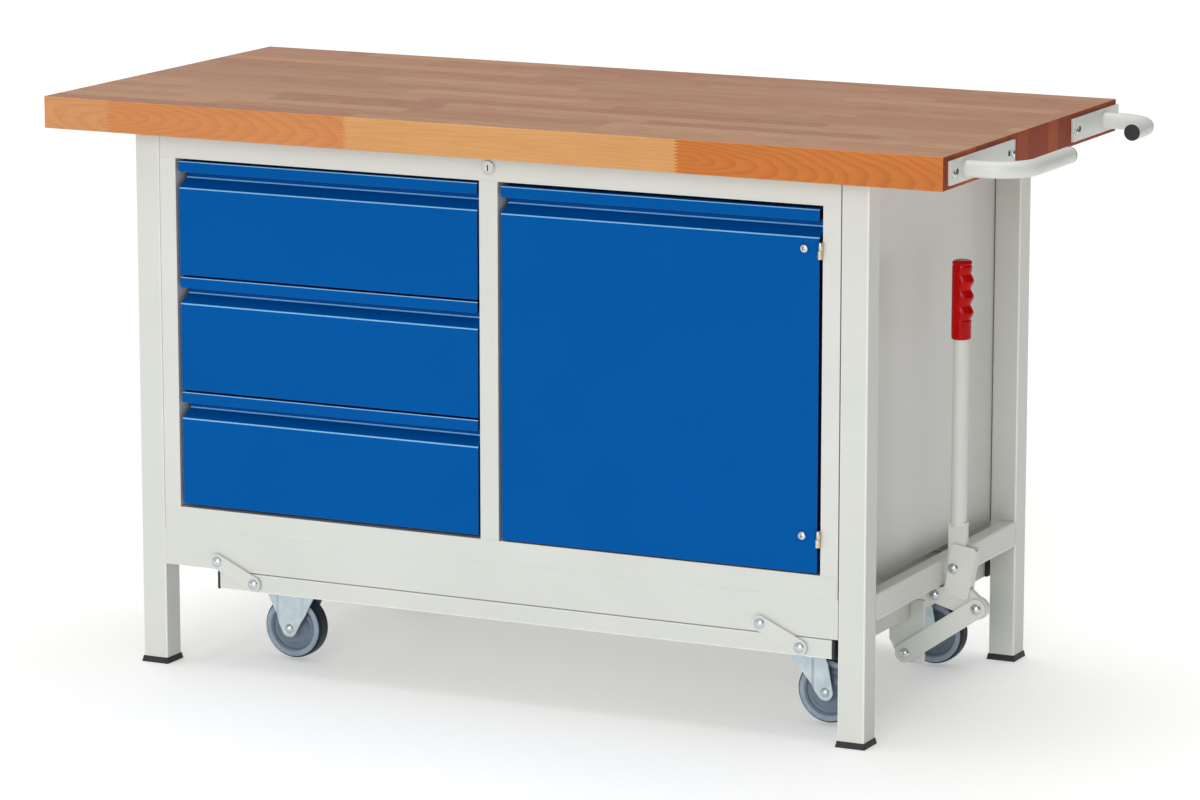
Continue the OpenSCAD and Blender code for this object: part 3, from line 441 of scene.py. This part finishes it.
class Shape:
    """Vertices and faces of a piece, gathered from several simple forms."""

    def __init__(self):
        self.points = []
        self.faces = []

    def add(self, points, faces):
        start = len(self.points)
        self.points += [Vector(p) for p in points]
        self.faces += [tuple(i + start for i in face) for face in faces]

    def turned(self, profile, centre, axis, steps=48, closed=False, radius_at=None):
        """Adds a profile of (radius, height) points turned about an axis.
        radius_at(radius, angle) changes the radius round the turn."""
        frame_of = Vector(axis).to_track_quat("Z", "X")
        points, rings = [], []
        for radius, height in profile:
            count = 1 if radius < 1e-7 else steps
            rings.append(range(len(points), len(points) + count))
            for i in range(count):
                angle = 2 * math.pi * i / steps
                r = radius_at(radius, angle) if radius_at else radius
                offset = Vector((r * math.cos(angle), r * math.sin(angle), height))
                points.append(Vector(centre) + frame_of @ offset)
        faces = []
        pairs = list(zip(rings, rings[1:])) + ([(rings[-1], rings[0])] if closed else [])
        for a, b in pairs:
            for i in range(steps):
                j = (i + 1) % steps
                if len(a) == 1 and len(b) > 1:
                    faces.append((a[0], b[i], b[j]))
                elif len(b) == 1 and len(a) > 1:
                    faces.append((a[i], a[j], b[0]))
                elif len(a) > 1:
                    faces.append((a[i], a[j], b[j], b[i]))
        self.add(points, faces)

    def dome(self, centre, axis, radius, height, drive):
        """Adds a domed screw head that stands on centre, with a round recess of radius drive."""
        rim = 0.22 * height
        profile = [(0.0, 0.0), (radius, 0.0), (radius, rim)]
        for i in range(1, 7):
            angle = math.pi / 2 * i / 6
            r = radius * math.cos(angle)
            profile.append((max(r, drive), rim + (height - rim) * math.sin(angle)))
        profile += [(drive, height * 0.55), (0.0, height * 0.5)]
        self.turned([p for i, p in enumerate(profile) if i == 0 or p != profile[i - 1]],
                    centre, axis, 32)

    def hexagon(self, centre, axis, across, height):
        """Adds a hexagon nut with rounded-off corners."""
        def radius_at(radius, angle):
            part = (angle + math.pi / 6) % (math.pi / 3) - math.pi / 6
            return min(radius, across / 2 / math.cos(part))
        outer = across / 2 / math.cos(math.pi / 6)
        profile = [(0.0, 0.0), (across * 0.48, 0.0), (outer, 0.12 * height),
                   (outer, 0.88 * height), (across * 0.48, height),
                   (across * 0.30, height), (across * 0.28, height * 0.9), (0.0, height * 0.9)]
        self.turned(profile, centre, axis, 36, radius_at=radius_at)

    def bead(self, start, end, radius, up):
        """Adds a weld bead: overlapping ripples between two points, standing towards up."""
        start, end, up = Vector(start), Vector(end), Vector(up).normalized()
        along = (end - start).normalized()
        side = along.cross(up)
        count = max(8, int((end - start).length / BEAD_PITCH))
        points, faces = [], []
        around = 7
        for i in range(count + 1):
            share = i / count
            taper = min(1.0, 6 * share + 0.25, 6 * (1 - share) + 0.25)
            r = radius * taper * (0.86 + 0.14 * math.cos(i * 2.1))
            for k in range(around):
                angle = math.pi * (1.25 * k / (around - 1) - 0.125)
                points.append(start.lerp(end, share) + side * r * math.cos(angle)
                              + up * r * 0.7 * math.sin(angle))
        for i in range(count):
            for k in range(around - 1):
                a = i * around + k
                faces.append((a, a + 1, a + around + 1, a + around))
        for i in (0, count):
            faces.append(tuple(i * around + k for k in range(around)))
        self.add(points, faces)

    def piece(self, name, material, body, slot):
        mesh = bpy.data.meshes.new(name)
        mesh.from_pydata(self.points, [], self.faces)
        mesh.validate()
        work = bmesh.new()
        work.from_mesh(mesh)
        bmesh.ops.remove_doubles(work, verts=work.verts, dist=1e-6)
        bmesh.ops.recalc_face_normals(work, faces=work.faces)
        work.to_mesh(mesh)
        work.free()
        mesh.polygons.foreach_set("use_smooth", [True] * len(mesh.polygons))
        mesh.materials.append(material)
        made = bpy.data.objects.new(name, mesh)
        bpy.context.scene.collection.objects.link(made)
        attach(made, body)
        return made


def soften(made, width, steps=2, angle=28):
    """Rounds the edges and keeps the flat faces flat in shading."""
    if width:
        bevel = made.modifiers.new("edges", "BEVEL")
        bevel.width = width
        bevel.segments = steps
        bevel.limit_method = "ANGLE"
        bevel.angle_limit = math.radians(angle)
    normals = made.modifiers.new("normals", "WEIGHTED_NORMAL")
    normals.keep_sharp = False
    normals.weight = 60


def finish_cad(node, width):
    """Gives a CAD node its material, whole faces and rounded edges."""
    made = frame["nodes"][node]
    for held in made.material_slots:
        held.material = MATERIALS[SLOT_OF[node]]
    weld = made.modifiers.new("weld", "WELD")
    weld.merge_threshold = 0.00001
    flat = made.modifiers.new("flat", "DECIMATE")
    flat.decimate_type = "DISSOLVE"
    flat.angle_limit = math.radians(0.5)
    soften(made, width)


def square_tube(name, low, high, axis, body, replaced):
    """Square tube with round corners and open ends, along axis 0, 1 or 2, for a CAD node."""
    slot = "grey_frame"
    others = [i for i in range(3) if i != axis]
    shape = Shape()
    points, faces = [], []
    corner_steps = 5
    outlines = []
    for inset, corner in ((0.0, TUBE_CORNER), (TUBE_WALL, TUBE_CORNER - TUBE_WALL)):
        outline = []
        for quarter, (u_end, v_end) in enumerate(((1, 1), (0, 1), (0, 0), (1, 0))):
            u_limit = (high if u_end else low)[others[0]] + (-inset if u_end else inset)
            v_limit = (high if v_end else low)[others[1]] + (-inset if v_end else inset)
            u_mid = u_limit + (-corner if u_end else corner)
            v_mid = v_limit + (-corner if v_end else corner)
            for i in range(corner_steps + 1):
                angle = math.pi / 2 * (quarter + i / corner_steps)
                outline.append((u_mid + corner * math.cos(angle),
                                v_mid + corner * math.sin(angle)))
        outlines.append(outline)
    count = len(outlines[0])
    for outline in outlines:
        for end in (low[axis], high[axis]):
            for u, v in outline:
                point = [0.0, 0.0, 0.0]
                point[axis], point[others[0]], point[others[1]] = end, u, v
                points.append(point)
    for i in range(count):
        j = (i + 1) % count
        faces.append((i, j, count + j, count + i))
        faces.append((2 * count + i, 3 * count + i, 3 * count + j, 2 * count + j))
        faces.append((i, 2 * count + i, 2 * count + j, j))
        faces.append((count + i, count + j, 3 * count + j, 3 * count + i))
    shape.add(points, faces)
    made = shape.piece(name, MATERIALS[slot], body, slot)
    # The rounded corners of the tube take the lighter grey: a painted highlight line
    made.data.materials.append(PAINTED_HIGHLIGHT_GREY)
    for face in made.data.polygons:
        face.material_index = int(max(abs(c) for c in face.normal) < 0.98)
    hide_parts(replaced)
    soften(made, 0.3 * MM, 1, 60)


# ---- Frame and fronts -------------------------------------------------------------------------

def frame_tubes():
    """Legs, chassis rails and side rails."""
    for end in ("front", "rear"):
        for side in ("left", "right"):
            node = f"leg_{end}_{side}"
            low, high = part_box(node)
            square_tube(f"{node}_tube", low, high, 2, "root", node)
        node = f"chassis_rail_{end}"
        low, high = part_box(node)
        square_tube(f"{node}_tube", low, high, 0, "chassis", node)
    low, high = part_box("side_rails")
    for side, x0 in (("left", low.x), ("right", high.x - SIDE_RAIL_W)):
        square_tube(f"side_rail_{side}_tube", Vector((x0, low.y, low.z)),
                    Vector((x0 + SIDE_RAIL_W, high.y, high.z)), 1, "root", "side_rails")


def front_panel(name, node, body):
    """Blue front from one sheet: lip, grip hollow, slope, and a flat face with flanges."""
    low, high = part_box(node)
    wall_y = high.y - SHEET
    trim = 3 * MM
    rows = [
        (high.y, high.z, 0.0), (low.y, high.z, 0.0),
        (low.y, high.z - LIP_H + trim, 0.0), (low.y, high.z - LIP_H + 0.3 * trim, 0.3 * trim),
        (low.y, high.z - LIP_H, trim), (wall_y, high.z - LIP_H, trim),
        (wall_y, high.z - GRIP_WALL_H, 0.0), (low.y, high.z - GRIP_H, 0.0),
        (low.y, low.z, 0.0), (low.y + FLANGE, low.z, 0.0),
    ]
    face_top, face_bottom = 7, 8
    points, faces = [], []
    for y, z, inset in rows:
        points += [(low.x + inset, y, z), (high.x - inset, y, z)]
    for i in range(len(rows) - 1):
        faces.append((2 * i, 2 * i + 1, 2 * i + 3, 2 * i + 2))
    # Side flanges of the flat face
    for side in (0, 1):
        x = high.x if side else low.x
        start = len(points)
        points.append((x, low.y + FLANGE, high.z - GRIP_H))
        bottom_back = 2 * (face_bottom + 1) + side
        faces.append((2 * face_top + side, 2 * face_bottom + side, bottom_back, start))
    shape = Shape()
    shape.add(points, faces)
    made = shape.piece(name, MATERIALS["blue_front"], body, "blue_front")
    # The top bend of the lip and both bends of the slope take the lighter blue: painted highlight
    # lines
    made.data.materials.append(PAINTED_HIGHLIGHT_BLUE)
    painted_highlight_bends = made.vertex_groups.new(name="painted_highlight_bends")
    painted_highlight_bends.add([2 * row + side for row in (1, 6, 7) for side in (0, 1)], 1.0, "REPLACE")
    bright = made.modifiers.new("painted_highlight_bends", "BEVEL")
    bright.width = BEND_R / 2
    bright.segments = 3
    bright.material = 1
    bright.limit_method = "VGROUP"
    bright.vertex_group = "painted_highlight_bends"
    dull = made.modifiers.new("dull", "BEVEL")
    dull.width = BEND_R
    dull.segments = 3
    dull.limit_method = "ANGLE"
    dull.angle_limit = math.radians(32)
    sheet = made.modifiers.new("sheet", "SOLIDIFY")
    sheet.thickness = SHEET
    sheet.offset = -1
    soften(made, 0.0)
    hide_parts(node)


def fronts():
    """The three drawer fronts and the door."""
    for level in ("top", "middle", "bottom"):
        front_panel(f"drawer_{level}_face", f"drawer_front_{level}", f"drawer_{level}")
    front_panel("door_face", "door_panel", "door")


def door_hardware():
    """Two domed screws that hold the hinges to the door, and the brass knuckles on its side."""
    low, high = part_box("door_panel")
    hinge_low, hinge_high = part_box("hinge_leaves")
    shape = Shape()
    for z in (hinge_low.z + 15 * MM, hinge_high.z - 11 * MM):
        shape.dome((high.x - 24 * MM, low.y, z), (0, -1, 0), 6.5 * MM, 3.6 * MM, 1.8 * MM)
    shape.piece("door_screws", MATERIALS["bright_bolt"], "door", "bright_bolt")
    knuckles = Shape()
    radius, length = KNUCKLE_R, 12.5 * MM
    profile = [(0.0, 0.0), (radius - 0.4 * MM, 0.0), (radius, 0.4 * MM),
               (radius, length - 0.4 * MM), (radius - 0.4 * MM, length), (0.0, length)]
    for z in (hinge_low.z + length, hinge_high.z - length):
        knuckles.turned(profile, (hinge_high.x - HINGE_INSET, hinge_low.y + 3.5 * MM, z),
                        (0, 0, 1), 24)
    knuckles.piece("door_knuckles", MATERIALS["hinge_brass"], "door", "hinge_brass")


# ---- Handles and lever ------------------------------------------------------------------------

def handle_screws():
    """A domed screw near each end of each handle plate, and beside it a flat black disc: the
    painted shadow of an open hole.
    """
    heads, hole_shadows = Shape(), Shape()
    face_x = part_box("worktop")[1].x + HANDLE_PLATE
    for node in ("push_handle_front", "push_handle_rear"):
        low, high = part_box(node)
        z = (low.z + high.z) / 2
        for y, inward in ((low.y, 1), (high.y, -1)):
            heads.dome((face_x, y + inward * 9 * MM, z - 2 * MM), (1, 0, 0), 5.2 * MM, 3.4 * MM,
                       1.6 * MM)
            # Painted shadow: a thin black disc stands for the dark inside of an open hole
            hole_shadows.turned([(0.0, 0.02 * MM), (3.1 * MM, 0.02 * MM), (3.5 * MM, 0.25 * MM),
                          (4.3 * MM, 0.25 * MM), (4.6 * MM, 0.0)],
                         (face_x, y + inward * 24 * MM, z), (1, 0, 0), 32)
    heads.piece("handle_screws", MATERIALS["bright_bolt"], "root", "bright_bolt")
    hole_shadows.piece("handle_hole_shadows", MATERIALS["black_plastic"], "root", "black_plastic")


def lever_grip():
    """Moulded grip: rounded top, a groove under it, three finger bumps on the outer side, and a
    plain lower part."""
    low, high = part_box("lever_grip")
    tube_low, tube_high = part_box("lever_tube")
    centre_x = tube_low.x + (tube_high.x - tube_low.x) / 2
    centre_y = (low.y + high.y) / 2
    bump = high.x - centre_x - GRIP_R
    dip = 1.2 * MM              # depth of the hollows between the bumps
    first = high.z - 20 * MM    # top of the first bump
    top_round = 5 * MM          # radius of the rounded top
    groove_end = 9 * MM         # from the top to the end of the groove
    groove_w = groove_end - top_round
    around, rings = 40, 90
    points, faces = [], []
    for i in range(rings + 1):
        z = low.z + (high.z - low.z) * i / rings
        from_top = high.z - z
        base = GRIP_R
        if from_top < top_round:
            rise = max(0.0, top_round ** 2 - (top_round - from_top) ** 2)
            base = GRIP_R - top_round + math.sqrt(rise)
        elif from_top < groove_end:
            base = GRIP_R - 0.8 * MM * math.sin(math.pi * (from_top - top_round) / groove_w)
        if z - low.z < 2 * MM:
            base = GRIP_R - 1.2 * MM + 0.6 * (z - low.z)
        wave = 0.0
        if first - 3 * GRIP_PITCH < z < first + 0.2 * GRIP_PITCH:
            wave = 0.5 - 0.5 * math.cos(2 * math.pi * (first - z) / GRIP_PITCH)
        for k in range(around):
            angle = 2 * math.pi * k / around
            outward = max(0.0, math.cos(angle)) ** 0.8
            r = base + outward * (bump * wave - dip * (1 - wave) * (wave > 0))
            points.append((centre_x + r * math.cos(angle), centre_y + r * math.sin(angle), z))
    for i in range(rings):
        for k in range(around):
            a, b = i * around + k, i * around + (k + 1) % around
            faces.append((a, b, b + around, a + around))
    faces.append(tuple(range(around - 1, -1, -1)))
    faces.append(tuple(rings * around + k for k in range(around)))
    shape = Shape()
    shape.add(points, faces)
    made = shape.piece("grip_sleeve", MATERIALS["red_grip"], "lever", "red_grip")
    soften(made, 0.0)
    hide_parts("lever_grip")


# ---- Castors ----------------------------------------------------------------------------------

def wheel(end, side):
    """Tread with soft shoulders, a light rim beside it, and a dished hub with a raised ring.
    Each is a profile of radius and height in mm on a 100 mm wheel: the tread's height is from the
    middle of the wheel, the other two's from the face of the boss."""
    node = f"wheel_{end}_{side}"
    low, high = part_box(node)
    centre = (low + high) / 2
    radius = (high.z - low.z) / 2
    boss = (high.y - low.y) / 2
    sides = {
        "tread": [(39, 12), (39, 14), (46.4, 14.2), (48.2, 13.2), (49.3, 11.2), (49.8, 8.4),
                  (50, 5)],
        "rim": [(36.2, -13), (37, -11), (38.2, -7.2), (39.4, -6.2), (41.5, -5.8), (44, -6),
                (46.2, -7), (47, -8.2), (46.6, -9)],
        "hub": [(4.2, 0), (8, 0), (9.5, -0.8), (10, -4), (13, -7), (15, -14.5), (25.5, -15.5),
                (26.5, -13.6), (28.5, -13.2), (30, -15.2), (35, -14.6), (36.8, -12.4)],
    }
    looks = {"tread": MATERIALS["castor_wheel"], "rim": RIM, "hub": HUB}
    for part, material in looks.items():
        width = 0 if part == "tread" else boss
        half = [(r * radius / 50, width + h * MM) for r, h in sides[part]]
        shape = Shape()
        shape.turned([(r, -h) for r, h in half[::-1]] + half, centre, (0, 1, 0), 96, closed=True)
        made = shape.piece(f"{part}_{end}_{side}", material, node, "castor_wheel")
        soften(made, 0.0)
        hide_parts(node)


def castor_hardware():
    """Bolts of the castor plates, and the hexagon nuts on the axles."""
    plate_bolts, fixed_nuts = Shape(), Shape()
    plates_low, plates_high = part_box("swivel_castor_plates")
    z = plates_high.z - PLATE_T
    for end in ("front", "rear"):
        for side in ("left", "right"):
            low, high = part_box(f"wheel_{end}_{side}")
            centre = (low + high) / 2
            x = centre.x if side == "left" else (plates_low.x + plates_high.x) / 2
            for dx in (-PLATE_BOLTS[0], PLATE_BOLTS[0]):
                for dy in (-PLATE_BOLTS[1], PLATE_BOLTS[1]):
                    plate_bolts.hexagon((x + dx, centre.y + dy, z), (0, 0, -1), 13 * MM, 5 * MM)
            nut = Shape() if side == "right" else fixed_nuts
            nut.hexagon((centre.x, high.y + CHEEK_OUT, centre.z), (0, 1, 0), 14.6 * MM, 5.3 * MM)
            if side == "right":
                nut.piece(f"axle_nut_{end}", MATERIALS["bright_bolt"], f"castor_fork_{end}",
                          "bright_bolt")
    plate_bolts.piece("castor_plate_bolts", MATERIALS["bright_bolt"], "chassis", "bright_bolt")
    fixed_nuts.piece("fixed_axle_nuts", MATERIALS["bright_bolt"], "chassis", "bright_bolt")


# ---- Welds ------------------------------------------------------------------------------------

def welds():
    """Beads where the side rails meet the legs and the crossbars meet the chassis rails."""
    frame_beads, chassis_beads = Shape(), Shape()
    short = 3 * MM              # from the end of a joint to its bead
    low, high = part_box("side_rails")
    for x in (low.x, high.x):
        side = 1 if x > 0 else -1
        for y in (low.y, high.y):
            frame_beads.bead((x, y, low.z + short), (x, y, high.z - short), 1.2 * MM,
                             (side, 0, 0))
            frame_beads.bead((x - side * short, y, low.z), (x - side * 22 * MM, y, low.z),
                             1.4 * MM, (0, 0, -1))
    frame_beads.piece("frame_welds", MATERIALS["grey_frame"], "root", "grey_frame")
    low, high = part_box("chassis_crossbars")
    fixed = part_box("fixed_castor_housings")
    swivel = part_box("swivel_castor_plates")
    for y in (low.y, high.y):
        for box in (fixed, swivel):
            centre = (box[0].x + box[1].x) / 2
            chassis_beads.bead((centre - 48 * MM, y, low.z), (centre + 48 * MM, y, low.z),
                               1.6 * MM, (0, 0, -1))
        chassis_beads.bead((high.x - 28 * MM, y, low.z), (high.x - short, y, low.z), 1.6 * MM,
                           (0, 0, -1))
    chassis_beads.piece("chassis_welds", MATERIALS["grey_frame"], "chassis", "grey_frame")


# ---- Studio -----------------------------------------------------------------------------------

def camera():
    """From the front and the right, a little above, with a long lens."""
    turn, tilt = math.radians(26.169), math.radians(11.034)
    ahead = Vector((-math.sin(turn) * math.cos(tilt), math.cos(turn) * math.cos(tilt),
                    -math.sin(tilt)))
    data = bpy.data.cameras.new("camera")
    data.sensor_width = 36
    data.lens = 150.5
    data.clip_end = 100
    eye = bpy.data.objects.new("camera", data)
    eye.location = (3.368, -6.884, 1.918)
    eye.rotation_mode = "QUATERNION"
    eye.rotation_quaternion = ahead.to_track_quat("-Z", "Y")
    bpy.context.scene.collection.objects.link(eye)
    bpy.context.scene.camera = eye


def soft_light(name, towards, spread, strength):
    """Even light from one side of the studio, as from a very large softbox."""
    data = bpy.data.lights.new(name, "SUN")
    data.angle = math.radians(spread)
    data.energy = strength
    lamp = bpy.data.objects.new(name, data)
    lamp.rotation_mode = "QUATERNION"
    lamp.rotation_quaternion = Vector(towards).to_track_quat("-Z", "Y")
    bpy.context.scene.collection.objects.link(lamp)


def studio():
    """Pale floor, surroundings that are brightest at the upper left, a soft key from the front
    and a soft top light."""
    shape = Shape()
    half = 30                   # half the width of the floor
    shape.add([(-half, -half, 0), (half, -half, 0), (half, half, 0), (-half, half, 0)],
              [(0, 1, 2, 3)])
    mesh = bpy.data.meshes.new("floor")
    mesh.from_pydata(shape.points, [], shape.faces)
    mesh.materials.append(floor_paint())
    floor = bpy.data.objects.new("floor", mesh)
    bpy.context.scene.collection.objects.link(floor)
    world = bpy.data.worlds.new("surroundings")
    world.use_nodes = True
    tree = world.node_tree
    direction = tree.nodes.new("ShaderNodeTexCoord")
    facing = tree.nodes.new("ShaderNodeVectorMath")
    facing.operation = "DOT_PRODUCT"
    facing.inputs[1].default_value = (-0.75, -0.25, 0.61)
    glow = tree.nodes.new("ShaderNodeMapRange")
    dark_at, bright_at, darkest, brightest = glow.inputs[1:5]
    dark_at.default_value = -0.7
    bright_at.default_value = 1.0
    darkest.default_value = 0.0
    brightest.default_value = 0.74
    tree.links.new(direction.outputs["Generated"], facing.inputs[0])
    tree.links.new(facing.outputs["Value"], glow.inputs[0])
    tree.links.new(glow.outputs[0], tree.nodes["Background"].inputs["Color"])
    bpy.context.scene.world = world
    soft_light("key", (-0.13, 0.94, -0.27), 30, 1.04)
    soft_light("top", (0.0, -0.12, -1.0), 50, 1.36)
    bpy.context.scene.view_settings.view_transform = "Standard"


# ---- The whole object -------------------------------------------------------------------------

# CAD nodes by the radius of their edges in mm; the others are thin sheet
NODES_BY_RADIUS = {
    1.6: ("worktop",),
    0.9: ("feet", "crank", "lever_socket", "lever_tube", "push_link", "fixed_castor_housings",
          "castor_fork_front", "castor_fork_rear", "link_front_left", "link_front_right",
          "link_rear_left", "link_rear_right"),
    0.8: ("lever_bracket",),
    0.7: ("handle_end_plugs",),
    0.6: ("lever_lug", "shelf", "chassis_crossbars"),
    0.5: ("push_handle_front", "push_handle_rear", "lock_housing"),
    0.4: ("rail_end_plugs",),
}
EDGE_R = {node: radius * MM for radius, nodes in NODES_BY_RADIUS.items() for node in nodes}
REPLACED = ("lever_grip", "side_rails", "door_panel", "leg_", "chassis_rail_", "drawer_front_",
            "wheel_")


camera()
studio()
for cad_node in sorted(SLOT_OF):
    if not cad_node.startswith(REPLACED):
        finish_cad(cad_node, EDGE_R.get(cad_node, THIN))
frame_tubes()
fronts()
door_hardware()
handle_screws()
lever_grip()
for wheel_end in ("front", "rear"):
    for wheel_side in ("left", "right"):
        wheel(wheel_end, wheel_side)
castor_hardware()
welds()
